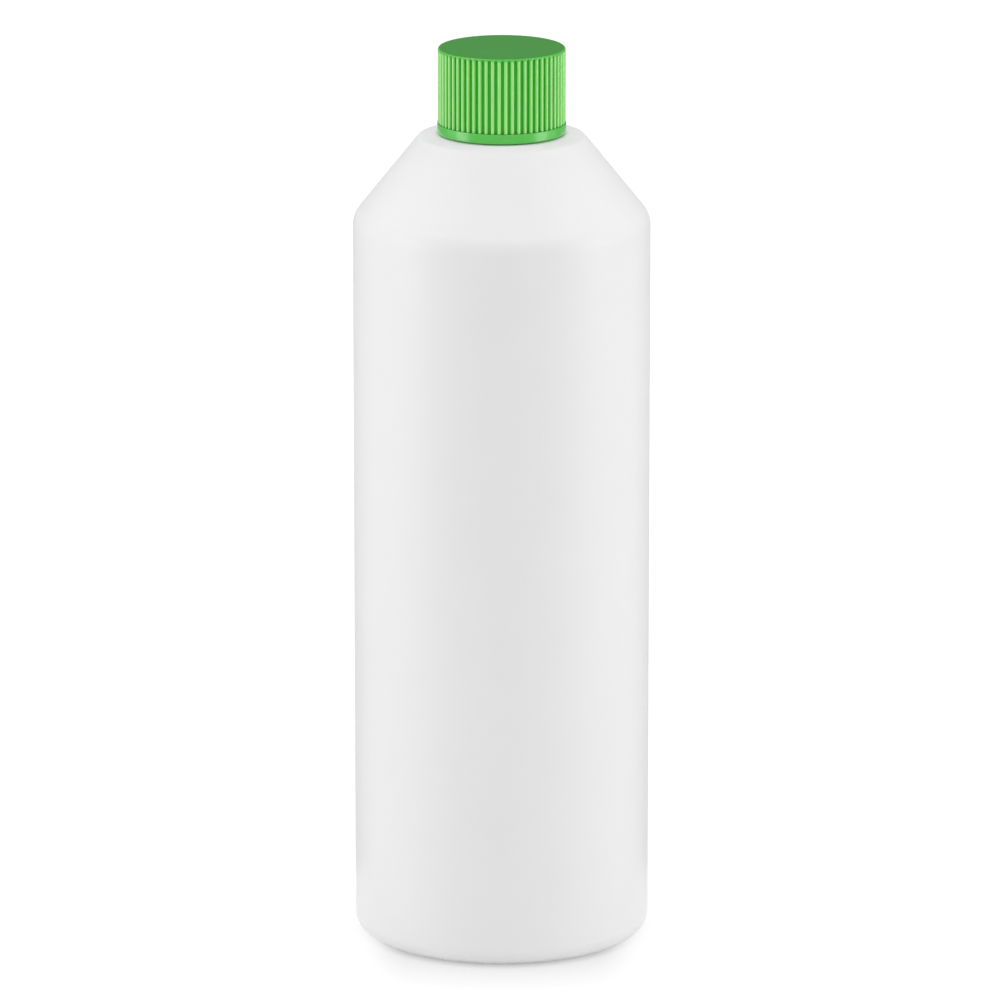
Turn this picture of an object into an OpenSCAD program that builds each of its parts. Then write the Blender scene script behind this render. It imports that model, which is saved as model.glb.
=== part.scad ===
// Round pharmacy bottle with a conical shoulder and a ribbed screw cap.
// Millimetres, +Z up. The bottle stands on z = 0 and its axis is the Z axis.
// The bottle is one hollow blow-moulded piece, the cap is one moulded piece, and a foam
// disc in the top of the cap seals the mouth.

/* [Body] */
// Outer diameter of the straight wall
body_d = 64; // [50:0.5:90]
// Height at which the straight wall's line meets the shoulder's line
shoulder_z = 159.5; // [100:0.5:240]
// Rise of the conical shoulder from there to the edge of the shelf
shoulder_h = 17.6; // [10:0.1:30]
// Rounding between the straight wall and the shoulder
shoulder_r = 5.5; // [3:0.5:16]
// Rounding at the foot of the straight wall
heel_r = 4; // [2.5:0.25:8]
// Thickness of the straight wall, the shoulder and the shelf
wall = 1; // [0.6:0.1:1.8]

/* [Base] */
// Width of the ring that the bottle stands on
stand_w = 4; // [2.5:0.25:7]
// Depth of the recessed panel inside that ring
recess_h = 2.5; // [1:0.25:5]
// Width of the sloping side of the recess, seen from below
recess_slope_w = 4; // [2:0.25:6]
// Rounding at the top and at the foot of the recess's side
recess_r = 1.2; // [0:0.1:2]
// Thickness of the base
base_t = 1.4; // [0.8:0.1:3]

/* [Shelf] */
// Width of the shelf round the neck
shelf_w = 7.15; // [4:0.05:10]
// Rise of the shelf from its edge to the neck
shelf_rise = 0.9; // [0:0.05:1.5]
// Rounding of the shelf's edge
shelf_edge_r = 0.8; // [0:0.1:2]

/* [Neck] */
// Outer diameter of the neck, under its thread
neck_d = 21.5; // [18:0.1:30]
// Height of the neck above the shelf
neck_h = 15.9; // [14:0.1:24]
// Thickness of the neck's wall
neck_wall = 1.75; // [1.2:0.05:2.5]
// Rounding where the neck meets the shelf
neck_root_r = 0.6; // [0:0.1:1]
// Rounding of the lip's two edges
lip_r = 0.35; // [0:0.05:0.5]

/* [Thread] */
// Rise of the thread in one turn
thread_pitch = 3.175; // [2.7:0.025:4]
// Turns of the neck's thread
thread_turns = 1.5; // [1:0.25:2]
// Depth of the neck's thread
thread_depth = 1.1; // [0.8:0.05:1.3]
// Width of the neck's thread at its crest
thread_crest_w = 0.7; // [0.4:0.05:1]
// Lean of the thread's sides from square
thread_flank = 30; // [20:1:35]
// Distance from the lip down to the middle of the thread's upper end
thread_drop = 1.9; // [1.6:0.1:3]
// Gap between the two threads, square to the axis
thread_gap = 0.25; // [0.15:0.05:0.4]
// Gap between the two threads, along the axis
thread_play = 0.25; // [0.15:0.05:0.4]

/* [Cap] */
// Thickness of the cap's wall from its bore to the crests of the ribs
cap_wall = 1.6; // [1.4:0.05:3]
// Thickness of the cap's top
cap_top_t = 1.5; // [1:0.1:3]
// Gap between the cap's rim and the shelf, at the rim's inner edge
rim_gap = 0.15; // [0.1:0.05:2]
// Rounding of the cap's top edge
cap_edge_r = 0.6; // [0:0.05:1]
// Height of the plain ring between the ribs and the rounded edge
cap_ring_h = 0.1; // [0.05:0.05:2]
// Height of the plain band below the ribs
band_h = 2.1; // [1:0.1:4]
// How far the band stands out past the ribs
band_proud = 0.12; // [0:0.01:0.4]
// Rounding of the band's lower edge
band_edge_r = 0.15; // [0:0.05:0.5]
// Width of the bevel that leads the neck into the cap's bore
bore_bevel = 0.4; // [0:0.05:0.8]
// Number of ribs
rib_count = 60; // [24:1:72]
// Radius of a rib's rounded crest
rib_r = 0.46; // [0.3:0.01:0.48]
// Depth of the grooves between the ribs
groove_depth = 0.65; // [0.2:0.05:0.8]

/* [Liner] */
// Thickness of the sealing disc
liner_t = 1; // [0.5:0.1:2]
// Gap between the disc and the cap's bore
liner_gap = 0.15; // [0.1:0.05:0.4]

/* [Hidden] */
$fn = 180;
arc_step = 6;         // turn between two points of a rounded edge, in degrees
thread_step = 10;     // turn between two sections of a thread, in degrees
thread_fade = 40;     // turn over which a thread's end rises from the wall, in degrees
thread_sink = 0.3;    // how far a thread's root lies inside its wall
cap_thread_from = -180;                        // angle at which the cap's thread starts
cap_thread_to = 360 * thread_turns - 90;       // angle at which the cap's thread ends
overlap = 0.01;       // overlap of joined solids

body_r = body_d / 2;
neck_r = neck_d / 2;
mouth_r = neck_r - neck_wall;
shelf_r = neck_r + shelf_w;
shelf_z = shoulder_z + shoulder_h;
stand_r = body_r - heel_r - stand_w;
neck_z = shelf_z + shelf_rise;
lip_z = neck_z + neck_h;
thread_r = neck_r + thread_depth;
thread_z = lip_z - thread_drop - thread_pitch * thread_turns;
bore_r = thread_r + thread_gap;
cap_r = bore_r + cap_wall;
band_r = cap_r + band_proud;
rim_r = bore_r + bore_bevel;
cap_z = shelf_z + shelf_rise * (shelf_r - rim_r) / shelf_w + rim_gap;
cap_h = lip_z + liner_t + cap_top_t - cap_z;
ribs_top = cap_h - cap_edge_r - cap_ring_h;
cap_thread_depth = bore_r - neck_r - thread_gap;
cap_crest_w = thread_pitch - thread_crest_w - 2 * thread_play
    - 2 * (thread_depth - thread_gap) * tan(thread_flank);

function unit(v) = v / norm(v);

// Points of the corner b between a and c, rounded to radius r.
function rounded(a, b, c, r) =
    r <= 0 ? [b] :
    let (u = unit(a - b),
         v = unit(c - b),
         half = acos(u * v) / 2,
         centre = b + unit(u + v) * r / sin(half),
         first = b + u * r / tan(half) - centre,
         sweep = sign(cross(v, u)) * (180 - 2 * half),
         steps = ceil(abs(sweep) / arc_step))
    [for (i = [0 : steps])
        let (t = sweep * i / steps)
        centre + [first.x * cos(t) - first.y * sin(t), first.x * sin(t) + first.y * cos(t)]];

// Closed outline from rows of [corner, rounding]. Its first and last corners stay sharp.
function outline(rows) =
    let (last = len(rows) - 1)
    [for (i = [0 : last])
        each i == 0 || i == last ? [rows[i][0]] :
            rounded(rows[i - 1][0], rows[i][0], rows[i + 1][0], rows[i][1])];

// Corner b after the lines a-b and b-c have moved to their left by t1 and t2.
function inset(a, b, c, t1, t2) =
    let (u = unit(b - a), v = unit(c - b))
    b + (t1 * v - t2 * u) / cross(u, v);

// Rounding of the corner b on the inner face of a wall that is t thick.
function inset_r(a, b, c, r, t) = max(0.2, r - sign(cross(b - a, c - b)) * t);

// Outer corners of the bottle from the middle of its base up to the lip, each with its
// rounding and the thickness of the wall that leaves it.
bottle_rows = [
    [[0, recess_h], 0, base_t],
    [[stand_r - recess_slope_w, recess_h], recess_r, base_t],
    [[stand_r, 0], recess_r, base_t],
    [[body_r, 0], heel_r, wall],
    [[body_r, shoulder_z], shoulder_r, wall],
    [[shelf_r, shelf_z], shelf_edge_r, wall],
    [[neck_r, neck_z], neck_root_r, neck_wall],
    [[neck_r, lip_z], lip_r, 0]
];

// The same corners on the inner face, from the neck down to the base.
inner_rows = [
    for (i = [len(bottle_rows) - 2 : -1 : 1])
        let (a = bottle_rows[i - 1], b = bottle_rows[i], c = bottle_rows[i + 1])
        [inset(a[0], b[0], c[0], a[2], b[2]), inset_r(a[0], b[0], c[0], b[1], a[2])]
];

// A thread's ridge on a wall of radius wall_r. Its middle is at height z at angle 0, and it
// runs from one angle to the other. A negative depth makes it stand inwards.
module thread(wall_r, depth, crest_w, z, from, to) {
    out = sign(depth);
    root_r = wall_r - out * thread_sink;
    root_w = crest_w + 2 * (abs(depth) + thread_sink) * tan(thread_flank);
    last = ceil((to - from) / thread_step);
    points = [
        for (i = [0 : last])
            let (a = from + (to - from) * i / last,
                 height = min(1, (a - from) / thread_fade, (to - a) / thread_fade),
                 crest_r = wall_r + depth * height,
                 section = [[root_r, root_w], [crest_r, crest_w], [crest_r, -crest_w], [root_r, -root_w]])
            for (p = section)
                [p[0] * cos(a), p[0] * sin(a), z + thread_pitch * a / 360 + out * p[1] / 2]
    ];
    sides = [
        for (i = [0 : last - 1], k = [0 : 3])
            let (p = 4 * i + k, q = 4 * i + (k + 1) % 4)
            each [[p, p + 4, q], [q, p + 4, q + 4]]
    ];
    start = [[0, 1, 2], [0, 2, 3]];
    end = [for (f = start) [for (k = [2 : -1 : 0]) 4 * last + f[k]]];
    polyhedron(points = points, faces = concat(start, sides, end));
}

// The blow-moulded bottle: straight wall, conical shoulder, shelf, threaded neck and a
// recessed base.
module bottle() {
    color("white") {
        rotate_extrude()
            polygon(outline(concat(
                [for (row = bottle_rows) [row[0], row[1]]],
                [[[mouth_r, lip_z], lip_r]],
                inner_rows,
                [[[0, recess_h + base_t], 0]]
            )));
        thread(neck_r, thread_depth, thread_crest_w, thread_z, 0, 360 * thread_turns);
    }
}

// Section of one rib: a rounded crest on a straight stem.
module rib_section() {
    translate([cap_r - rib_r, 0])
        circle(r = rib_r, $fn = 24);
    translate([cap_r - rib_r - groove_depth, -rib_r])
        square([groove_depth, 2 * rib_r]);
}

// The ribbed wall, from the band up to the plain ring.
module ribs() {
    translate([0, 0, band_h - overlap])
        linear_extrude(ribs_top - band_h + 2 * overlap)
            union() {
                circle(r = cap_r - groove_depth);
                for (i = [0 : rib_count - 1])
                    rotate((i + 0.5) * 360 / rib_count)
                        rib_section();
            }
}

// The space inside the cap, with a bevel at its mouth.
module cap_space() {
    rotate_extrude()
        polygon([
            [0, -overlap],
            [rim_r + overlap, -overlap],
            [bore_r, bore_bevel],
            [bore_r, cap_h - cap_top_t],
            [0, cap_h - cap_top_t]
        ]);
}

// The screw cap: a plain band, ribs, a plain ring with a rounded edge and a flat top. It is
// hollow, with a thread inside that fits the neck's.
module screw_cap() {
    color("limegreen") {
        translate([0, 0, cap_z])
            difference() {
                union() {
                    ribs();
                    rotate_extrude()
                        polygon(outline([
                            [[0, 0], 0],
                            [[band_r, 0], band_edge_r],
                            [[band_r, band_h], 0],
                            [[0, band_h], 0]
                        ]));
                    rotate_extrude()
                        polygon(outline([
                            [[0, ribs_top], 0],
                            [[cap_r, ribs_top], 0],
                            [[cap_r, cap_h], cap_edge_r],
                            [[0, cap_h], 0]
                        ]));
                }
                cap_space();
            }
        thread(bore_r, -cap_thread_depth, cap_crest_w, thread_z - thread_pitch / 2,
            cap_thread_from, cap_thread_to);
    }
}

// The foam disc between the cap's top and the lip.
module cap_liner() {
    color("whitesmoke")
        translate([0, 0, lip_z])
            cylinder(r = bore_r - liner_gap, h = liner_t);
}

bottle();
screw_cap();
cap_liner();
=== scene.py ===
from math import acos, ceil, cos, pi, radians, sin, tan

import bpy
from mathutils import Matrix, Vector


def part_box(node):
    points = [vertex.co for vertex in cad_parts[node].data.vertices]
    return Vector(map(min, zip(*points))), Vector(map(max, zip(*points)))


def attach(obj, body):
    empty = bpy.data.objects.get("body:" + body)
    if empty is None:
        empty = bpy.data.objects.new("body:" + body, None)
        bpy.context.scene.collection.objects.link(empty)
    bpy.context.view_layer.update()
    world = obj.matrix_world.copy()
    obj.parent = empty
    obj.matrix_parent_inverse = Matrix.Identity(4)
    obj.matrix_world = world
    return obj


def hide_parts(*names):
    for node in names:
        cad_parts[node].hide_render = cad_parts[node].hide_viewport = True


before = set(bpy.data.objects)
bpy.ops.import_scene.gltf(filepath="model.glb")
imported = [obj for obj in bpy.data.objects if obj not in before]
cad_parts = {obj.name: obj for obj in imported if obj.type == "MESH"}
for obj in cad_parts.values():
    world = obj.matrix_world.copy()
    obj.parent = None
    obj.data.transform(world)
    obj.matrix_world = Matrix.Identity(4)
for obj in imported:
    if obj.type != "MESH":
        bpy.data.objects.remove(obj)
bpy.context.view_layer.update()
print("frame:", ", ".join(sorted(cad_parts)))

mm = 0.001
tiny = 0.001 * mm    # points closer than this are one point
scene = bpy.context.scene

bottleLow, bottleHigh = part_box("bottle")
capLow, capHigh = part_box("screw_cap")
linerLow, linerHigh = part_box("cap_liner")


# Node trees

def newTree(name, kind, inputs, outputs):
    tree = bpy.data.node_groups.new(name, kind)
    for label, socketType, *default in inputs:
        socket = tree.interface.new_socket(label, in_out="INPUT", socket_type=socketType)
        if default:
            socket.default_value = default[0]
    for label, socketType in outputs:
        tree.interface.new_socket(label, in_out="OUTPUT", socket_type=socketType)
    given = tree.nodes.new("NodeGroupInput").outputs
    result = tree.nodes.new("NodeGroupOutput").inputs
    return tree, given, result


def feed(tree, socket, value):
    if isinstance(value, bpy.types.NodeSocket):
        tree.links.new(value, socket)
    else:
        socket.default_value = value


def put(tree, kind, inputs=None, **settings):
    node = tree.nodes.new(kind)
    for name, value in settings.items():
        setattr(node, name, value)
    for name, value in (inputs or {}).items():
        feed(tree, node.inputs[name], value)
    return node


def calc(tree, operation, *terms):
    node = put(tree, "ShaderNodeMath", operation=operation)
    for socket, term in zip(node.inputs, terms):
        feed(tree, socket, term)
    return node.outputs[0]


def smoothStep(tree, value, start, end):
    ease = put(tree, "ShaderNodeMapRange", {"Value": value, "From Min": start, "From Max": end},
               interpolation_type="SMOOTHSTEP")
    return ease.outputs["Result"]


# Numbers of a colour mix's sockets, which share their names with those for other data.
mixFirst, mixSecond, mixResult = 6, 7, 2


def mixColors(tree, factor, first, second):
    mix = put(tree, "ShaderNodeMix", {"Factor": factor}, data_type="RGBA")
    feed(tree, mix.inputs[mixFirst], first)
    feed(tree, mix.inputs[mixSecond], second)
    return mix.outputs[mixResult]


# Outlines, as (radius, height) pairs in the plane of the axis

def roundedCorner(before, corner, after, radius, turnStep=radians(5)):
    if radius <= 0:
        return [corner]
    back, onward = (before - corner).normalized(), (after - corner).normalized()
    half = acos(back.dot(onward)) / 2
    centre = corner + (back + onward).normalized() * radius / sin(half)
    first = corner + back * radius / tan(half) - centre
    turn = 1 if back.cross(onward) < 0 else -1
    sweep = turn * (pi - 2 * half)
    steps = ceil(abs(sweep) / turnStep)
    points = []
    for i in range(steps + 1):
        a = sweep * i / steps
        points.append(centre + Vector((first.x * cos(a) - first.y * sin(a),
                                       first.x * sin(a) + first.y * cos(a))))
    return points


def insetCorner(before, corner, after, thicknessBefore, thicknessAfter):
    u, v = (corner - before).normalized(), (after - corner).normalized()
    return corner + (v * thicknessBefore - u * thicknessAfter) / u.cross(v)


def insetRounding(before, corner, after, radius, thickness, least=0.2 * mm):
    inwards = 1 if (corner - before).cross(after - corner) > 0 else -1
    return max(least, radius - inwards * thickness)


# A long straight stretch gets rows close to its ends, so that the rounding beside it doesn't
# tilt the smooth shading of the whole stretch, and a row every so often between them.
def stretchRows(start, end, nearEnd=0.2 * mm, spacing=8 * mm):
    length = (end - start).length
    if length < 4 * nearEnd:
        return []
    way = (end - start) / length
    count = ceil(length / spacing)
    distances = [nearEnd] + [length * i / count for i in range(1, count)] + [length - nearEnd]
    return [start + way * d for d in distances]


# Each corner is (radius, height, rounding, mark). The rows of a stretch and of a rounding keep
# the mark of the corner that they come from.
def outlineRows(corners):
    places = [Vector(c[:2]) for c in corners]
    last = len(corners) - 1
    rows = []
    for i, (_, _, rounding, mark) in enumerate(corners):
        inside = 0 < i < last
        arc = roundedCorner(places[i - 1], places[i], places[i + 1], rounding) if inside else [places[i]]
        if rows:
            rows += [(p, rows[-1][1]) for p in stretchRows(rows[-1][0], arc[0])]
        rows += [(p, mark) for p in arc]
    return rows


# A mesh of bare points that a node tree reads a section from, with one number or vector for
# each point under each name.
def sectionObject(name, places, **numbers):
    mesh = bpy.data.meshes.new(name)
    mesh.from_pydata([(p.x, 0, p.y) for p in places], [], [])
    for label, values in numbers.items():
        if isinstance(values[0], Vector):
            mesh.attributes.new(label, "FLOAT_VECTOR", "POINT")
            mesh.attributes[label].data.foreach_set("vector", [c for v in values for c in v])
        else:
            mesh.attributes.new(label, "FLOAT", "POINT")
            mesh.attributes[label].data.foreach_set("value", values)
    section = bpy.data.objects.new(name, mesh)
    scene.collection.objects.link(section)
    return section


# Geometry Nodes: a section turned round the Z axis

# Grid of one column for each step and one row for each point of the section.
def sectionGrid(tree, section, steps):
    points = put(tree, "GeometryNodeObjectInfo", {"Object": section}).outputs["Geometry"]
    rows = put(tree, "GeometryNodeAttributeDomainSize", {"Geometry": points},
               component="MESH").outputs["Point Count"]
    grid = put(tree, "GeometryNodeMeshGrid",
               {"Vertices X": calc(tree, "ADD", steps, 1), "Vertices Y": rows}).outputs["Mesh"]
    index = put(tree, "GeometryNodeInputIndex").outputs["Index"]
    column = calc(tree, "FLOOR", calc(tree, "DIVIDE", index, rows))
    row = calc(tree, "SUBTRACT", index, calc(tree, "MULTIPLY", column, rows))

    def sample(field, dataType):
        picked = put(tree, "GeometryNodeSampleIndex", data_type=dataType)
        feed(tree, picked.inputs["Geometry"], points)
        feed(tree, picked.inputs["Value"], field)
        feed(tree, picked.inputs["Index"], row)
        return picked.outputs["Value"]

    def named(label, dataType="FLOAT"):
        field = put(tree, "GeometryNodeInputNamedAttribute", {"Name": label}, data_type=dataType)
        return sample(field.outputs["Attribute"], dataType)

    place = sample(put(tree, "GeometryNodeInputPosition").outputs["Position"], "FLOAT_VECTOR")
    split = put(tree, "ShaderNodeSeparateXYZ", {"Vector": place})
    share = calc(tree, "DIVIDE", column, steps)
    return grid, share, split.outputs["X"], split.outputs["Z"], named


def placeRound(tree, grid, radius, angle, height):
    around = put(tree, "ShaderNodeCombineXYZ", {
        "X": calc(tree, "MULTIPLY", radius, calc(tree, "COSINE", angle)),
        "Y": calc(tree, "MULTIPLY", radius, calc(tree, "SINE", angle)),
        "Z": height}).outputs["Vector"]
    placed = put(tree, "GeometryNodeSetPosition", {"Geometry": grid, "Position": around})
    return placed.outputs["Geometry"]


def weld(tree, geometry):
    return put(tree, "GeometryNodeMergeByDistance",
               {"Geometry": geometry, "Distance": tiny}).outputs["Geometry"]


# The section turned once round, with the columns drawn together at the mould's parting plane,
# where the section's own seam vector lowers or raises the surface along a narrow line.
def buildTurnedTree():
    tree, given, result = newTree("turnedShape", "GeometryNodeTree", [
        ("Section", "NodeSocketObject"),
        ("Steps", "NodeSocketInt", 192),
        ("Draw Together", "NodeSocketFloat", 0.0),
    ], [("Geometry", "NodeSocketGeometry")])
    grid, share, radius, height, named = sectionGrid(tree, given["Section"], given["Steps"])
    even = calc(tree, "MULTIPLY", share, 2 * pi)
    drawn = calc(tree, "MULTIPLY", given["Draw Together"],
                 calc(tree, "SINE", calc(tree, "MULTIPLY", even, 2)))
    angle = calc(tree, "SUBTRACT", even, calc(tree, "MULTIPLY", drawn, 0.5))

    offPlane = calc(tree, "ABSOLUTE", calc(tree, "MULTIPLY", radius, calc(tree, "SINE", angle)))
    seamWidth = calc(tree, "MAXIMUM", named("seamWidth"), tiny)
    seam = calc(tree, "SUBTRACT", 1, smoothStep(tree, calc(tree, "DIVIDE", offPlane, seamWidth), 0, 1))
    pull = put(tree, "ShaderNodeSeparateXYZ", {"Vector": named("seamPull", "FLOAT_VECTOR")})
    radius = calc(tree, "MULTIPLY_ADD", pull.outputs["X"], seam, radius)
    height = calc(tree, "MULTIPLY_ADD", pull.outputs["Z"], seam, height)
    feed(tree, result["Geometry"], weld(tree, placeRound(tree, grid, radius, angle, height)))
    return tree


# A ridge's section, given from its root, swept along a helix. It grows from nothing at each end.
def buildThreadTree():
    tree, given, result = newTree("threadRidge", "GeometryNodeTree", [
        ("Section", "NodeSocketObject"),
        ("Steps", "NodeSocketInt", 180),
        ("Root Radius", "NodeSocketFloat", 0.01),
        ("Height", "NodeSocketFloat", 0.0),
        ("Pitch", "NodeSocketFloat", 0.003),
        ("From", "NodeSocketFloat", 0.0),
        ("To", "NodeSocketFloat", 2 * pi),
        ("Fade", "NodeSocketFloat", radians(40)),
    ], [("Geometry", "NodeSocketGeometry")])
    grid, share, out, up, named = sectionGrid(tree, given["Section"], given["Steps"])
    span = calc(tree, "SUBTRACT", given["To"], given["From"])
    travelled = calc(tree, "MULTIPLY", share, span)
    left = calc(tree, "SUBTRACT", span, travelled)
    grown = smoothStep(tree, calc(tree, "MINIMUM", travelled, left), 0, given["Fade"])
    angle = calc(tree, "ADD", given["From"], travelled)
    climb = calc(tree, "MULTIPLY", given["Pitch"], calc(tree, "DIVIDE", angle, 2 * pi))
    radius = calc(tree, "MULTIPLY_ADD", out, grown, given["Root Radius"])
    height = calc(tree, "ADD", calc(tree, "MULTIPLY_ADD", up, grown, given["Height"]), climb)
    feed(tree, result["Geometry"], weld(tree, placeRound(tree, grid, radius, angle, height)))
    return tree


# One rib's width of the cap's section, half a groove at each side, repeated round the axis.
# Where the section's groove mark is 1, a round-ended groove is cut down to the band.
def buildRibbedTree():
    tree, given, result = newTree("ribbedShape", "GeometryNodeTree", [
        ("Section", "NodeSocketObject"),
        ("Ribs", "NodeSocketInt", 60),
        ("Columns", "NodeSocketInt", 12),
        ("Floor Columns", "NodeSocketFloat", 0.3),
        ("Rib Radius", "NodeSocketFloat", 0.46 * mm),
        ("Rib Circle", "NodeSocketFloat", 13.24 * mm),
        ("Groove Depth", "NodeSocketFloat", 0.65 * mm),
        ("Groove Top", "NodeSocketFloat", 0.0),
        ("Phase", "NodeSocketFloat", 0.0),
    ], [("Geometry", "NodeSocketGeometry")])
    grid, share, radius, height, named = sectionGrid(tree, given["Section"], given["Columns"])
    pitch = calc(tree, "DIVIDE", 2 * pi, given["Ribs"])
    halfArc = calc(tree, "MULTIPLY", given["Rib Circle"], calc(tree, "MULTIPLY", pitch, 0.5))
    floorArc = calc(tree, "SUBTRACT", halfArc, given["Rib Radius"])

    # The columns stand evenly across the groove's floor and then in even turns round the rib.
    side = calc(tree, "MULTIPLY_ADD", share, 2, -1)
    off = calc(tree, "ABSOLUTE", side)
    onFloor = calc(tree, "MINIMUM", calc(tree, "DIVIDE", off, given["Floor Columns"]), 1)
    past = calc(tree, "MAXIMUM", calc(tree, "SUBTRACT", off, given["Floor Columns"]), 0)
    onRib = calc(tree, "DIVIDE", past, calc(tree, "SUBTRACT", 1, given["Floor Columns"]))
    lean = calc(tree, "SUBTRACT", 1, calc(tree, "COSINE", calc(tree, "MULTIPLY", onRib, pi / 2)))
    arc = calc(tree, "ADD", calc(tree, "MULTIPLY", onFloor, floorArc),
               calc(tree, "MULTIPLY", lean, given["Rib Radius"]))
    arc = calc(tree, "MULTIPLY", arc, calc(tree, "SIGN", side))
    angle = calc(tree, "DIVIDE", arc, given["Rib Circle"])

    # Distance from the groove's middle line, which stops at the groove's top.
    above = calc(tree, "MAXIMUM", calc(tree, "SUBTRACT", height, given["Groove Top"]), 0)
    away = calc(tree, "SQRT", calc(tree, "ADD", calc(tree, "MULTIPLY", arc, arc),
                                   calc(tree, "MULTIPLY", above, above)))
    fromRib = calc(tree, "MAXIMUM", calc(tree, "SUBTRACT", halfArc, away), 0)
    ribSquare = calc(tree, "MULTIPLY", given["Rib Radius"], given["Rib Radius"])
    fromSquare = calc(tree, "MULTIPLY", fromRib, fromRib)
    crest = calc(tree, "SQRT", calc(tree, "MAXIMUM", calc(tree, "SUBTRACT", ribSquare, fromSquare), 0))
    rise = calc(tree, "MULTIPLY", crest, calc(tree, "DIVIDE", given["Groove Depth"], given["Rib Radius"]))
    cut = calc(tree, "MULTIPLY", calc(tree, "SUBTRACT", given["Groove Depth"], rise), named("groove"))
    radius = calc(tree, "SUBTRACT", radius, cut)

    sector = placeRound(tree, grid, radius, angle, height)
    spots = put(tree, "GeometryNodePoints", {"Count": given["Ribs"]}).outputs["Points"]
    number = put(tree, "GeometryNodeInputIndex").outputs["Index"]
    turned = put(tree, "ShaderNodeCombineXYZ",
                 {"Z": calc(tree, "MULTIPLY_ADD", number, pitch, given["Phase"])}).outputs["Vector"]
    copies = put(tree, "GeometryNodeInstanceOnPoints",
                 {"Points": spots, "Instance": sector, "Rotation": turned}).outputs["Instances"]
    whole = put(tree, "GeometryNodeRealizeInstances", {"Geometry": copies}).outputs["Geometry"]
    feed(tree, result["Geometry"], weld(tree, whole))
    return tree


# A tree that builds one shape from the other trees, fuses its parts and gives it its material.
def buildPieceTree(name, parts):
    inputs = [("Material", "NodeSocketMaterial")]
    for partName, partTree in parts:
        for item in partTree.interface.items_tree:
            if item.in_out == "INPUT":
                default = [] if item.socket_type == "NodeSocketObject" else [item.default_value]
                inputs.append((partName + " " + item.name, item.socket_type, *default))
    tree, given, result = newTree(name, "GeometryNodeTree", inputs, [("Geometry", "NodeSocketGeometry")])
    fused = None
    for partName, partTree in parts:
        made = put(tree, "GeometryNodeGroup", node_tree=partTree)
        for socket in made.inputs:
            feed(tree, socket, given[partName + " " + socket.name])
        if fused is None:
            fused = made.outputs["Geometry"]
            continue
        union = put(tree, "GeometryNodeMeshBoolean", operation="UNION", solver="MANIFOLD")
        feed(tree, union.inputs["Mesh 2"], fused)
        feed(tree, union.inputs["Mesh 2"], made.outputs["Geometry"])
        fused = union.outputs["Mesh"]
    smooth = put(tree, "GeometryNodeSetShadeSmooth", {"Geometry": fused}).outputs["Geometry"]
    plain = put(tree, "GeometryNodeRealizeInstances", {"Geometry": smooth}).outputs["Geometry"]
    dressed = put(tree, "GeometryNodeSetMaterial", {"Geometry": plain, "Material": given["Material"]})
    feed(tree, result["Geometry"], dressed.outputs["Geometry"])
    return tree


# Grows a piece from its tree and keeps the result as a plain mesh.
def growPiece(name, tree, values, sharpFrom=radians(32)):
    piece = bpy.data.objects.new(name, bpy.data.meshes.new(name + "Seed"))
    scene.collection.objects.link(piece)
    modifier = piece.modifiers.new("shape", "NODES")
    modifier.node_group = tree
    for item in tree.interface.items_tree:
        if item.in_out == "INPUT" and item.name in values:
            modifier[item.identifier] = values[item.name]
    depsgraph = bpy.context.evaluated_depsgraph_get()
    mesh = bpy.data.meshes.new_from_object(piece.evaluated_get(depsgraph), depsgraph=depsgraph)
    piece.modifiers.remove(modifier)
    piece.data = mesh
    mesh.name = name
    mesh.materials.clear()
    mesh.materials.append(values["Material"])
    mesh.polygons.foreach_set("material_index", [0] * len(mesh.polygons))
    mesh.set_sharp_from_angle(angle=sharpFrom)
    for value in values.values():
        if isinstance(value, bpy.types.Object):
            bpy.data.objects.remove(value)
    print(f"{name}: {len(mesh.vertices)} points, {len(mesh.polygons)} faces")
    return piece


# Trapezium that a thread's ridge has for a section, from its sunk root, rounded at the crest.
def ridgeSection(name, thread, depth, crestWidth, inwards=False):
    reach = depth + thread["sink"]
    rootWidth = crestWidth + 2 * reach * tan(thread["flank"])
    corners = [(Vector((0, -rootWidth / 2)), 0),
               (Vector((reach, -crestWidth / 2)), thread["rounding"]),
               (Vector((reach, crestWidth / 2)), thread["rounding"]),
               (Vector((0, rootWidth / 2)), 0)]
    places = []
    for i, (corner, rounding) in enumerate(corners):
        before, after = corners[i - 1][0], corners[(i + 1) % len(corners)][0]
        places += roundedCorner(before, corner, after, rounding, thread["turnStep"])
    places.append(places[0])
    if inwards:
        places = [Vector((-p.x, -p.y)) for p in places]
    return sectionObject(name, places)


turnedTree = buildTurnedTree()
threadTree = buildThreadTree()
ribbedTree = buildRibbedTree()
print("node trees built")


# Finishes

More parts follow.
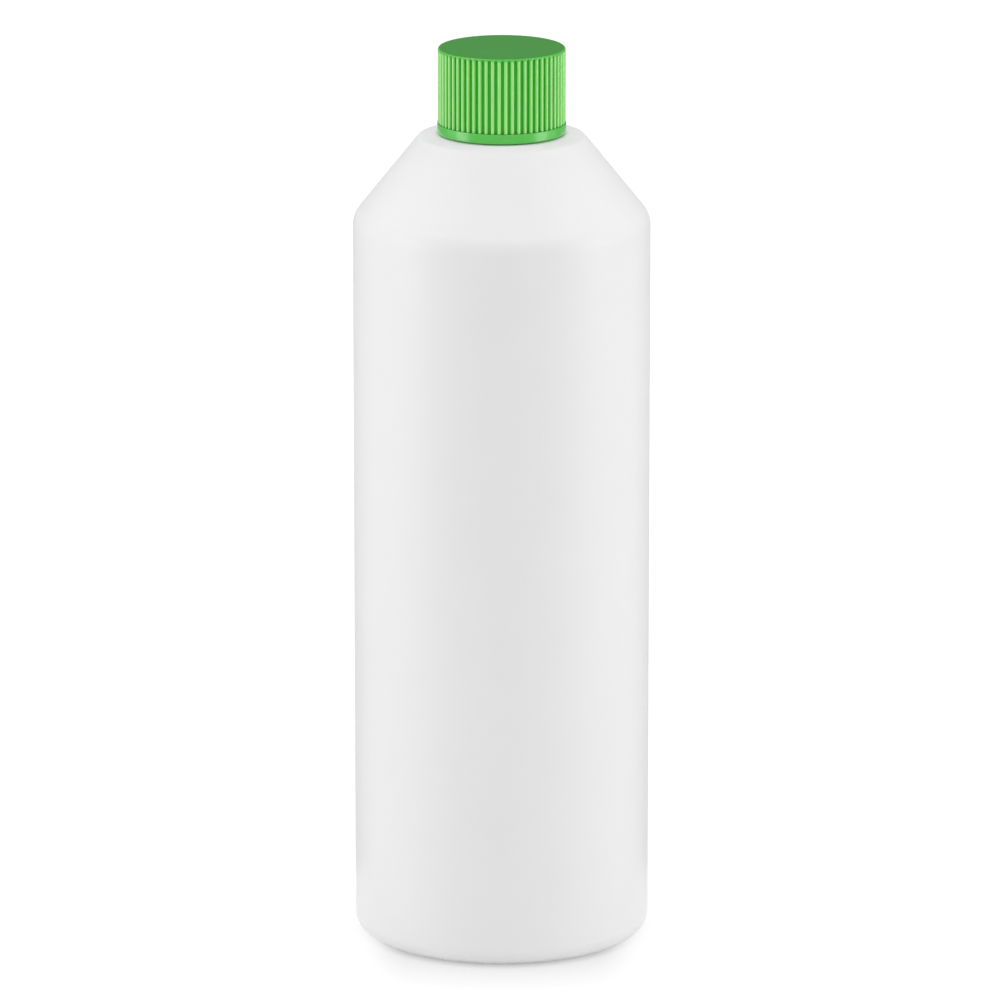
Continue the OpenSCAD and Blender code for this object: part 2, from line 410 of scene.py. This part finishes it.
# What moulded plastic has in common: faint clouds of tone, drawn lines along the axis and a
# fine grain from the mould. Faces that look up can be duller and take a colour of their own; where
# that colour is darker than the walls, as on the cap, it is painted shade. Ribs get a painted
# highlight, a paler colour towards their crests, and more gloss there, by the distance from the
# axis. lookUp is the upward part of the normal at which the top colour and dullness begin and are
# whole, dullShare the size of the dull patches against the clouds, and drawnOut the lines' scale
# along the axis.
def buildMouldedGroup(lookUp=(0.6, 0.95), dullShare=0.4, drawnOut=0.01):
    tree, given, result = newTree("mouldedPlastic", "ShaderNodeTree", [
        ("Color", "NodeSocketColor", (0.8, 0.8, 0.8, 1)),
        ("Cloud Size", "NodeSocketFloat", 12 * mm),
        ("Cloud Tone", "NodeSocketFloat", 0.02),
        ("Top Color", "NodeSocketColor", (0.8, 0.8, 0.8, 1)),
        ("Line Width", "NodeSocketFloat", 1 * mm),
        ("Line Height", "NodeSocketFloat", 0.001 * mm),
        ("Grain Size", "NodeSocketFloat", 0.3 * mm),
        ("Grain Height", "NodeSocketFloat", 0.001 * mm),
        ("Roughness", "NodeSocketFloat", 0.4),
        ("Roughness Spread", "NodeSocketFloat", 0.04),
        ("Top Roughness", "NodeSocketFloat", 0.4),
        ("Wall Gloss", "NodeSocketFloat", 0.0),
        ("Crest Color", "NodeSocketColor", (1, 1, 1, 1)),
        ("Crest Mix", "NodeSocketFloat", 0.0),
        ("Rib Foot", "NodeSocketFloat", 1.0),
        ("Rib Crest", "NodeSocketFloat", 2.0),
        ("Ribs Above", "NodeSocketFloat", 0.0),
        ("Ribs Below", "NodeSocketFloat", 1.0),
        ("Rib Fade", "NodeSocketFloat", 0.5 * mm),
    ], [("Color", "NodeSocketColor"), ("Roughness", "NodeSocketFloat"), ("Height", "NodeSocketFloat"),
        ("Gloss", "NodeSocketFloat")])
    coordinates = put(tree, "ShaderNodeTexCoord").outputs
    place = coordinates["Object"]
    facing = put(tree, "ShaderNodeSeparateXYZ", {"Vector": coordinates["Normal"]}).outputs["Z"]
    isTop = smoothStep(tree, facing, *lookUp)
    axes = put(tree, "ShaderNodeSeparateXYZ", {"Vector": place}).outputs
    flat = put(tree, "ShaderNodeCombineXYZ", {"X": axes["X"], "Y": axes["Y"]}).outputs["Vector"]
    outwards = put(tree, "ShaderNodeVectorMath", {"Vector": flat}, operation="LENGTH").outputs["Value"]
    isOut = smoothStep(tree, outwards, given["Rib Foot"], given["Rib Crest"])
    fadeEnd = calc(tree, "ADD", given["Ribs Below"], given["Rib Fade"])
    isPast = smoothStep(tree, axes["Z"], given["Ribs Below"], fadeEnd)
    isRib = calc(tree, "SUBTRACT", calc(tree, "GREATER_THAN", axes["Z"], given["Ribs Above"]), isPast)
    isCrest = calc(tree, "MULTIPLY", isOut, isRib)

    def noise(size, detail, scale=(1, 1, 1)):
        spread = put(tree, "ShaderNodeMapping", {"Vector": place, "Scale": scale}).outputs["Vector"]
        made = put(tree, "ShaderNodeTexNoise", {"Vector": spread, "Scale": calc(tree, "DIVIDE", 1, size),
                                               "Detail": detail, "Roughness": 0.5})
        return calc(tree, "MULTIPLY_ADD", made.outputs["Fac"], 2, -1)

    cloud = noise(given["Cloud Size"], detail=3)
    # Painted highlight: rib crests are mixed towards a paler crest colour.
    crestHighlightShare = calc(tree, "MULTIPLY", isCrest, given["Crest Mix"])
    paler = mixColors(tree, crestHighlightShare, given["Color"], given["Crest Color"])
    # Painted shade: faces that look up take the top colour, which is darker than the walls on the cap.
    topShaded = mixColors(tree, isTop, paler, given["Top Color"])
    tinted = put(tree, "ShaderNodeVectorMath", operation="SCALE")
    feed(tree, tinted.inputs[0], topShaded)
    feed(tree, tinted.inputs["Scale"], calc(tree, "MULTIPLY_ADD", cloud, given["Cloud Tone"], 1))
    feed(tree, result["Color"], tinted.outputs["Vector"])

    dull = noise(calc(tree, "MULTIPLY", given["Cloud Size"], dullShare), detail=4)
    duller = calc(tree, "SUBTRACT", given["Top Roughness"], given["Roughness"])
    evenly = calc(tree, "MULTIPLY_ADD", isTop, duller, given["Roughness"])
    feed(tree, result["Roughness"], calc(tree, "MULTIPLY_ADD", dull, given["Roughness Spread"], evenly))
    glossOut = calc(tree, "MULTIPLY", given["Wall Gloss"], isOut)
    feed(tree, result["Gloss"], calc(tree, "MULTIPLY", glossOut, calc(tree, "SUBTRACT", 1, isTop)))

    lines = noise(given["Line Width"], detail=2, scale=(1, 1, drawnOut))
    grain = noise(given["Grain Size"], detail=3)
    lineHeight = calc(tree, "MULTIPLY", lines, given["Line Height"])
    grainHeight = calc(tree, "MULTIPLY", grain, given["Grain Height"])
    feed(tree, result["Height"], calc(tree, "ADD", lineHeight, grainHeight))
    return tree


mouldedGroup = buildMouldedGroup()
print("finish group built")


def mouldedMaterial(name, look):
    material = bpy.data.materials.new(name)
    material.use_nodes = True
    tree = material.node_tree
    shader = tree.nodes["Principled BSDF"]
    surface = put(tree, "ShaderNodeGroup", node_tree=mouldedGroup)
    for label, value in look["surface"].items():
        surface.inputs[label].default_value = value
    bump = put(tree, "ShaderNodeBump", {"Height": surface.outputs["Height"], "Distance": 1.0})
    color = surface.outputs["Color"]
    if "bounce" in look:
        path = put(tree, "ShaderNodeLightPath").outputs
        isFar = calc(tree, "GREATER_THAN", path["Ray Length"], look["bounce"]["from"])
        isBounce = calc(tree, "MAXIMUM", path["Is Diffuse Ray"], path["Is Glossy Ray"])
        color = mixColors(tree, calc(tree, "MULTIPLY", isBounce, isFar), color, look["bounce"]["color"])
    feed(tree, shader.inputs["Base Color"], color)
    feed(tree, shader.inputs["Roughness"], surface.outputs["Roughness"])
    feed(tree, shader.inputs["Normal"], bump.outputs["Normal"])
    if "Wall Gloss" in look["surface"]:
        feed(tree, shader.inputs["Coat Weight"], surface.outputs["Gloss"])
    for label, value in look["shader"].items():
        shader.inputs[label].default_value = value
    return material


# The bottle, blown in one piece

bottleForm = {
    "shoulderHeight": 159.5 * mm, "shoulderRise": 17.6 * mm, "shoulderRounding": 5.5 * mm,
    "heelRounding": 4 * mm, "wall": 1 * mm,
    "standWidth": 4 * mm, "recessHeight": 2.5 * mm, "recessSlope": 4 * mm,
    "recessRounding": 1.2 * mm, "baseThickness": 1.4 * mm,
    "shelfWidth": 7.15 * mm, "shelfRise": 0.9 * mm, "shelfEdge": 0.8 * mm,
    "neckRadius": 10.75 * mm, "neckWall": 1.75 * mm, "neckRoot": 0.6 * mm, "lipRounding": 0.35 * mm,
    "partingDepth": 0.04 * mm, "partingWidth": 0.3 * mm,    # the line where the mould's halves meet
    # The ridge under the base, and how the rows across it close up towards the middle.
    "pinchHeight": 0.4 * mm, "pinchWidth": 0.8 * mm, "pinchReach": 16 * mm, "pinchShrink": 0.8,
    "steps": 288, "drawTogether": 0.85,
}
threadForm = {
    "pitch": 3.175 * mm, "turns": 1.5, "depth": 1.1 * mm, "crest": 0.7 * mm, "flank": radians(30),
    "drop": 1.9 * mm, "sink": 0.3 * mm, "fade": radians(40),
    "rounding": 0.15 * mm, "turnStep": radians(15),    # at the ridge's crest
    "gap": 0.25 * mm, "play": 0.25 * mm,    # between the neck's thread and the cap's
}
bottleLook = {
    "surface": {"Color": (0.86, 0.86, 0.86, 1), "Top Color": (0.86, 0.86, 0.86, 1),
                "Cloud Size": 14 * mm, "Cloud Tone": 0.012,
                "Line Width": 1.6 * mm, "Line Height": 0.0012 * mm,
                "Grain Size": 0.28 * mm, "Grain Height": 0.0009 * mm,
                "Roughness": 0.38, "Roughness Spread": 0.035, "Top Roughness": 0.8},
    "shader": {"IOR": 1.52, "Specular IOR Level": 0.3,
               "Subsurface Weight": 0.12, "Subsurface Radius": (1, 1, 0.9),
               "Subsurface Scale": 1.2 * mm},
}


def bottleSection(form):
    bodyRadius, lip = bottleHigh.x, bottleHigh.z
    standRadius = bodyRadius - form["heelRounding"] - form["standWidth"]
    panelRadius = standRadius - form["recessSlope"]
    shelfRadius = form["neckRadius"] + form["shelfWidth"]
    shelfHeight = form["shoulderHeight"] + form["shoulderRise"]
    neckFoot = shelfHeight + form["shelfRise"]
    mouthRadius = form["neckRadius"] - form["neckWall"]
    wall, base = form["wall"], form["baseThickness"]
    plain, parting, pinch = 0, 1, 2

    # Corner, rounding and the thickness of the wall that follows.
    outer = [
        (Vector((0, form["recessHeight"])), 0, base),
        (Vector((panelRadius, form["recessHeight"])), form["recessRounding"], base),
        (Vector((standRadius, 0)), form["recessRounding"], base),
        (Vector((bodyRadius, 0)), form["heelRounding"], wall),
        (Vector((bodyRadius, form["shoulderHeight"])), form["shoulderRounding"], wall),
        (Vector((shelfRadius, shelfHeight)), form["shelfEdge"], wall),
        (Vector((form["neckRadius"], neckFoot)), form["neckRoot"], form["neckWall"]),
        (Vector((form["neckRadius"], lip)), form["lipRounding"], 0),
    ]
    corners = [(0, form["recessHeight"], 0, pinch)]
    reach = form["pinchReach"]
    while reach > form["pinchWidth"] / 2:
        corners.insert(1, (reach, form["recessHeight"], 0, pinch))
        reach *= form["pinchShrink"]
    corners.append((form["pinchReach"] + form["pinchWidth"], form["recessHeight"], 0, plain))
    corners += [(corner.x, corner.y, rounding, parting) for corner, rounding, thickness in outer[1:]]
    corners.append((mouthRadius, lip, form["lipRounding"], plain))
    for i in range(len(outer) - 2, 0, -1):
        (a, _, before), (b, rounding, after), (c, _, _) = outer[i - 1:i + 2]
        inner = insetCorner(a, b, c, before, after)
        corners.append((inner.x, inner.y, insetRounding(a, b, c, rounding, before), plain))
    corners.append((0, form["recessHeight"] + base, 0, plain))

    rows = outlineRows(corners)
    places = [place for place, mark in rows]
    pulls, widths = [], []
    for i, (place, mark) in enumerate(rows):
        way = (places[min(i + 1, len(rows) - 1)] - places[max(i - 1, 0)]).normalized()
        inwards = Vector((-way.y, 0, way.x))
        depth = {plain: 0, parting: form["partingDepth"], pinch: -form["pinchHeight"]}[mark]
        pulls.append(inwards * depth)
        widths.append(form["pinchWidth"] if mark == pinch else form["partingWidth"])
    return sectionObject("bottleSection", places, seamPull=pulls, seamWidth=widths)


def makeBottle(form, thread, look):
    lip = bottleHigh.z
    tree = buildPieceTree("bottlePiece", [("Body", turnedTree), ("Thread", threadTree)])
    return growPiece("whiteBottle", tree, {
        "Material": mouldedMaterial("whitePolyethylene", look),
        "Body Section": bottleSection(form),
        "Body Steps": form["steps"],
        "Body Draw Together": form["drawTogether"],
        "Thread Section": ridgeSection("neckRidge", thread, thread["depth"], thread["crest"]),
        "Thread Root Radius": form["neckRadius"] - thread["sink"],
        "Thread Height": lip - thread["drop"] - thread["pitch"] * thread["turns"],
        "Thread Pitch": thread["pitch"],
        "Thread To": 2 * pi * thread["turns"],
        "Thread Fade": thread["fade"],
    })


bottle = makeBottle(bottleForm, threadForm, bottleLook)


# The screw cap

capForm = {
    "topThickness": 1.5 * mm, "edgeRounding": 0.6 * mm, "wall": 1.6 * mm,
    "bandHeight": 2.1 * mm, "bandProud": 0.12 * mm, "bandEdge": 0.15 * mm, "bandShoulder": 0.08 * mm,
    "boreBevel": 0.4 * mm, "boreCorner": 0.25 * mm,
    "ribs": 60, "ribRadius": 0.46 * mm, "grooveDepth": 0.65 * mm,
    "grooveTop": 0.85 * mm,    # from the cap's top down to the middle of a groove's round end
    "phase": radians(0.7), "columns": 12, "floorColumns": 1 / 3, "endRow": 0.08 * mm,
}
capLook = {
    # The top colour is painted shade: the cap's top is given a darker green than its walls.
    "surface": {"Color": (0.042, 0.52, 0.022, 1), "Top Color": (0.046, 0.27, 0.035, 1),
                "Cloud Size": 5 * mm, "Cloud Tone": 0.03, "Line Width": 0.7 * mm, "Line Height": 0.0,
                "Grain Size": 0.16 * mm, "Grain Height": 0.0008 * mm,
                "Roughness": 0.45, "Roughness Spread": 0.04, "Top Roughness": 0.6, "Wall Gloss": 1.0,
                # The crest colour is a painted highlight: rib crests are painted paler than the grooves.
                "Crest Color": (0.33, 0.8, 0.2, 1), "Crest Mix": 0.9,
                "Rib Foot": capHigh.x - 0.7 * mm, "Rib Crest": capHigh.x - 0.1 * mm,
                "Ribs Above": capLow.z + capForm["bandHeight"] + 0.12 * mm,
                "Ribs Below": capHigh.z - 0.9 * mm, "Rib Fade": 0.5 * mm},
    # What the shelf gets back from the cap is paler than the cap, as in the photograph.
    "bounce": {"color": (0.75, 0.77, 0.75, 1), "from": 1.2 * mm},
    "shader": {"IOR": 1.5, "Specular IOR Level": 0.25, "Coat Roughness": 0.22, "Coat IOR": 1.6,
               "Subsurface Weight": 0.08, "Subsurface Radius": (0.4, 1, 0.3),
               "Subsurface Scale": 0.6 * mm},
}


def capSection(form):
    capRadius = capHigh.x - form["bandProud"]
    boreRadius = capRadius - form["wall"]
    bandTop = capLow.z + form["bandHeight"]
    grooveTop = capHigh.z - form["grooveTop"]
    edgeStart = capHigh.z - form["edgeRounding"]
    plain, grooved = 0, 1
    corners = [
        (0, capHigh.z - form["topThickness"], 0, plain),
        (boreRadius, capHigh.z - form["topThickness"], form["boreCorner"], plain),
        (boreRadius, capLow.z + form["boreBevel"], 0, plain),
        (boreRadius + form["boreBevel"], capLow.z, 0, plain),
        (capHigh.x, capLow.z, form["bandEdge"], plain),
        (capHigh.x, bandTop, form["bandShoulder"], plain),
        (capRadius, bandTop, 0, plain),
        (capRadius, bandTop, 0, grooved),
    ]
    steps = max(1, round((edgeStart - grooveTop) / form["endRow"]))
    for i in range(steps):
        corners.append((capRadius, grooveTop + (edgeStart - grooveTop) * i / steps, 0, grooved))
    corners += [(capRadius, capHigh.z, form["edgeRounding"], grooved), (0, capHigh.z, 0, plain)]
    rows = outlineRows(corners)
    places = [place for place, mark in rows]
    return sectionObject("capSection", places, groove=[float(mark) for place, mark in rows])


def makeCap(form, neck, thread, look):
    capRadius = capHigh.x - form["bandProud"]
    boreRadius = capRadius - form["wall"]
    depth = boreRadius - neck["neckRadius"] - thread["gap"]
    crest = (thread["pitch"] - thread["crest"] - 2 * thread["play"]
             - 2 * (thread["depth"] - thread["gap"]) * tan(thread["flank"]))
    tree = buildPieceTree("capPiece", [("Shell", ribbedTree), ("Thread", threadTree)])
    return growPiece("greenCap", tree, {
        "Material": mouldedMaterial("greenPolypropylene", look),
        "Shell Section": capSection(form),
        "Shell Ribs": form["ribs"],
        "Shell Columns": form["columns"],
        "Shell Floor Columns": form["floorColumns"],
        "Shell Rib Radius": form["ribRadius"],
        "Shell Rib Circle": capRadius - form["ribRadius"],
        "Shell Groove Depth": form["grooveDepth"],
        "Shell Groove Top": capHigh.z - form["grooveTop"],
        "Shell Phase": form["phase"] - pi / 2,
        "Thread Section": ridgeSection("capRidge", thread, depth, crest, inwards=True),
        "Thread Root Radius": boreRadius + thread["sink"],
        "Thread Height": bottleHigh.z - thread["drop"] - thread["pitch"] * (thread["turns"] + 0.5),
        "Thread Pitch": thread["pitch"],
        "Thread From": -pi,
        "Thread To": 2 * pi * thread["turns"] - pi / 2,
        "Thread Fade": thread["fade"],
    })


cap = makeCap(capForm, bottleForm, threadForm, capLook)


# The sealing disc in the cap

linerForm = {"edge": 0.15 * mm, "printDepth": 0.08 * mm, "printSlope": 0.25 * mm, "steps": 144}
linerLook = {
    "surface": {"Color": (0.84, 0.84, 0.82, 1), "Top Color": (0.84, 0.84, 0.82, 1),
                "Cloud Size": 4 * mm, "Cloud Tone": 0.03,
                "Line Width": 1 * mm, "Line Height": 0.0,
                "Grain Size": 0.35 * mm, "Grain Height": 0.012 * mm,
                "Roughness": 0.72, "Roughness Spread": 0.06, "Top Roughness": 0.72},
    "shader": {"IOR": 1.45, "Subsurface Weight": 0.2, "Subsurface Radius": (1, 1, 0.9),
               "Subsurface Scale": 0.8 * mm},
}


# The lip has pressed a shallow ring into the underside.
def linerSection(form, neck):
    radius = min(linerHigh.x, -linerLow.x)
    printIn = neck["neckRadius"] - neck["neckWall"] - form["printSlope"]
    printOut = neck["neckRadius"]
    pressed = linerLow.z + form["printDepth"]
    corners = [
        (0, linerLow.z, 0, 0),
        (printIn, linerLow.z, 0, 0),
        (printIn + form["printSlope"], pressed, 0, 0),
        (printOut, pressed, 0, 0),
        (printOut + form["printSlope"], linerLow.z, 0, 0),
        (radius, linerLow.z, form["edge"], 0),
        (radius, linerHigh.z, form["edge"], 0),
        (0, linerHigh.z, 0, 0),
    ]
    places = [place for place, mark in outlineRows(corners)]
    still = [Vector((0, 0, 0))] * len(places)
    return sectionObject("linerSection", places, seamPull=still, seamWidth=[mm] * len(places))


def makeLiner(form, neck, look):
    tree = buildPieceTree("linerPiece", [("Disc", turnedTree)])
    return growPiece("foamLiner", tree, {
        "Material": mouldedMaterial("linerFoam", look),
        "Disc Section": linerSection(form, neck),
        "Disc Steps": form["steps"],
    })


liner = makeLiner(linerForm, bottleForm, linerLook)

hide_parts("bottle")
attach(bottle, "bottle")
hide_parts("screw_cap")
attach(cap, "cap")
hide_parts("cap_liner")
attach(liner, "liner")
print("pieces ride on their bodies")


# Camera, floor and light

cameraSet = {
    "distance": 1764 * mm, "pitch": radians(14.33), "aimHeight": 96.36 * mm, "aside": -0.37 * mm,
    "lens": 292.8, "sensor": 36, "clipStart": 0.05, "clipEnd": 40,
}


def addCamera(look):
    data = bpy.data.cameras.new("camera")
    data.lens, data.sensor_width = look["lens"], look["sensor"]
    data.clip_start, data.clip_end = look["clipStart"], look["clipEnd"]
    camera = bpy.data.objects.new("camera", data)
    scene.collection.objects.link(camera)
    back = Vector((0, -cos(look["pitch"]), sin(look["pitch"])))
    camera.location = Vector((look["aside"], 0, look["aimHeight"])) + back * look["distance"]
    camera.rotation_euler = back.to_track_quat("Z", "Y").to_euler()
    scene.camera = camera


addCamera(cameraSet)

floorSet = {
    "side": 12.0, "color": (0.91, 0.91, 0.91, 1),
    # As the camera and reflections see it. The lamps light it less far away, so it glows more there.
    "seenColor": (0.12, 0.12, 0.12, 1), "nearGlow": 0.94, "farGlow": 1.0, "nearTo": 0.1, "farFrom": 0.6,
    # A painted shadow on that glow, from ambient occlusion at the foot of the object, kept mostly in
    # front of it and no wider than it.
    "shade": 0.5, "shadeBehind": 0.12, "shadeReach": 28 * mm, "shadeSamples": 4,
    "shadeWidth": (20 * mm, 32 * mm), "aheadTo": 0.7,
}


# What the camera, mirrors and glass see, against what lights the object.
def seenMask(tree):
    path = put(tree, "ShaderNodeLightPath").outputs
    either = calc(tree, "MAXIMUM", path["Is Camera Ray"], path["Is Glossy Ray"])
    return calc(tree, "MAXIMUM", either, path["Is Transmission Ray"])


def addFloor(look):
    half = look["side"] / 2
    mesh = bpy.data.meshes.new("floor")
    corners = [(-half, -half, 0), (half, -half, 0), (half, half, 0), (-half, half, 0)]
    mesh.from_pydata(corners, [], [(0, 1, 2, 3)])
    material = bpy.data.materials.new("paleFloor")
    material.use_nodes = True
    tree = material.node_tree
    tree.nodes.clear()
    hidden = put(tree, "ShaderNodeBsdfDiffuse", {"Color": look["color"]}).outputs[0]
    lit = put(tree, "ShaderNodeBsdfDiffuse", {"Color": look["seenColor"]}).outputs[0]
    place = put(tree, "ShaderNodeTexCoord").outputs["Object"]
    away = put(tree, "ShaderNodeVectorMath", {"Vector": place}, operation="LENGTH").outputs["Value"]
    isFar = smoothStep(tree, away, look["nearTo"], look["farFrom"])
    extra = calc(tree, "MULTIPLY_ADD", isFar, look["farGlow"] - look["nearGlow"], look["nearGlow"])
    # Painted shadow: ambient occlusion darkens the glow, masked to in front of the object and to its
    # width.
    openness = put(tree, "ShaderNodeAmbientOcclusion", {"Distance": look["shadeReach"]},
                   samples=look["shadeSamples"]).outputs["AO"]
    spot = put(tree, "ShaderNodeSeparateXYZ", {"Vector": place}).outputs
    towards = calc(tree, "DIVIDE", calc(tree, "MULTIPLY", spot["Y"], -1), away)
    ahead = smoothStep(tree, towards, 0, look["aheadTo"])
    beyond = smoothStep(tree, calc(tree, "ABSOLUTE", spot["X"]), *look["shadeWidth"])
    inFront = calc(tree, "MULTIPLY", ahead, calc(tree, "SUBTRACT", 1, beyond))
    depth = calc(tree, "MULTIPLY_ADD", inFront, look["shade"] - look["shadeBehind"], look["shadeBehind"])
    light = calc(tree, "SUBTRACT", 1, calc(tree, "MULTIPLY", depth, calc(tree, "SUBTRACT", 1, openness)))
    glow = put(tree, "ShaderNodeEmission",
               {"Color": (1, 1, 1, 1), "Strength": calc(tree, "MULTIPLY", extra, light)}).outputs[0]
    both = put(tree, "ShaderNodeAddShader")
    feed(tree, both.inputs[0], lit)
    feed(tree, both.inputs[1], glow)
    choice = put(tree, "ShaderNodeMixShader", {"Fac": seenMask(tree)})
    feed(tree, choice.inputs[1], hidden)
    feed(tree, choice.inputs[2], both.outputs[0])
    put(tree, "ShaderNodeOutputMaterial", {"Surface": choice.outputs[0]})
    mesh.materials.append(material)
    floor = bpy.data.objects.new("floor", mesh)
    scene.collection.objects.link(floor)


addFloor(floorSet)

worldSet = {"fill": 0.5, "seen": 1.0}


def addWorld(look):
    world = bpy.data.worlds.new("studio")
    world.use_nodes = True
    tree = world.node_tree
    tree.nodes.clear()
    fill = put(tree, "ShaderNodeBackground", {"Color": (1, 1, 1, 1), "Strength": look["fill"]}).outputs[0]
    seen = put(tree, "ShaderNodeBackground", {"Color": (1, 1, 1, 1), "Strength": look["seen"]}).outputs[0]
    choice = put(tree, "ShaderNodeMixShader", {"Fac": seenMask(tree)})
    feed(tree, choice.inputs[1], fill)
    feed(tree, choice.inputs[2], seen)
    put(tree, "ShaderNodeOutputWorld", {"Surface": choice.outputs[0]})
    scene.world = world


addWorld(worldSet)

# Each ring of lamps faces a point on the axis. Azimuth 0 is the camera's side, and a lamp at any
# other stands on the left too. Its glow is how bright its face is.
lampSet = {
    "low": {"aimHeight": 0.23, "distance": 0.7, "elevation": 0, "size": (0.3, 0.5),
            "glows": {15: 0.2, 75: 3.0}},
    "high": {"aimHeight": 0.1, "distance": 1.2, "elevation": 65, "size": (0.5, 0.5),
             "glows": {0: 1.8, 90: 2.4, 180: 2.0}},
}


def addLamp(name, ring, azimuth, glow):
    data = bpy.data.lights.new(name, "AREA")
    data.shape = "RECTANGLE"
    data.size, data.size_y = ring["size"]
    data.energy = glow * pi * data.size * data.size_y
    a, e = radians(azimuth), radians(ring["elevation"])
    towards = Vector((sin(a) * cos(e), -cos(a) * cos(e), sin(e)))
    lamp = bpy.data.objects.new(name, data)
    lamp.location = Vector((0, 0, ring["aimHeight"])) + towards * ring["distance"]
    lamp.rotation_euler = towards.to_track_quat("Z", "Y").to_euler()
    lamp.visible_camera = False
    scene.collection.objects.link(lamp)


def addLamps(look):
    for name, ring in look.items():
        for azimuth, glow in ring["glows"].items():
            for turn in sorted({azimuth % 360, -azimuth % 360}):
                addLamp(f"{name}{turn}", ring, turn, glow)


addLamps(lampSet)

# Grey cards that stand behind the object on each side, as in a studio. Only its gloss shows them,
# so its outline is a little darker than the white behind it.
cardSet = {"azimuth": 145, "distance": 0.06, "size": (0.1, 0.5), "grey": 0.4}


def addCards(look):
    material = bpy.data.materials.new("greyCard")
    material.use_nodes = True
    tree = material.node_tree
    tree.nodes.clear()
    grey = put(tree, "ShaderNodeEmission", {"Strength": look["grey"]}).outputs[0]
    put(tree, "ShaderNodeOutputMaterial", {"Surface": grey})
    half, height = look["size"][0] / 2, look["size"][1]
    for side in (1, -1):
        a = radians(look["azimuth"]) * side
        foot = Vector((sin(a), -cos(a), 0)) * look["distance"]
        along = Vector((cos(a), sin(a), 0)) * half
        up = Vector((0, 0, height))
        mesh = bpy.data.meshes.new("card")
        corners = [foot - along, foot + along, foot + along + up, foot - along + up]
        mesh.from_pydata(corners, [], [(0, 1, 2, 3)])
        mesh.materials.append(material)
        card = bpy.data.objects.new("card", mesh)
        card.visible_camera = card.visible_diffuse = card.visible_transmission = False
        card.visible_shadow = card.visible_volume_scatter = False
        scene.collection.objects.link(card)


addCards(cardSet)

scene.view_settings.view_transform = "Standard"
print("camera, floor and light set")
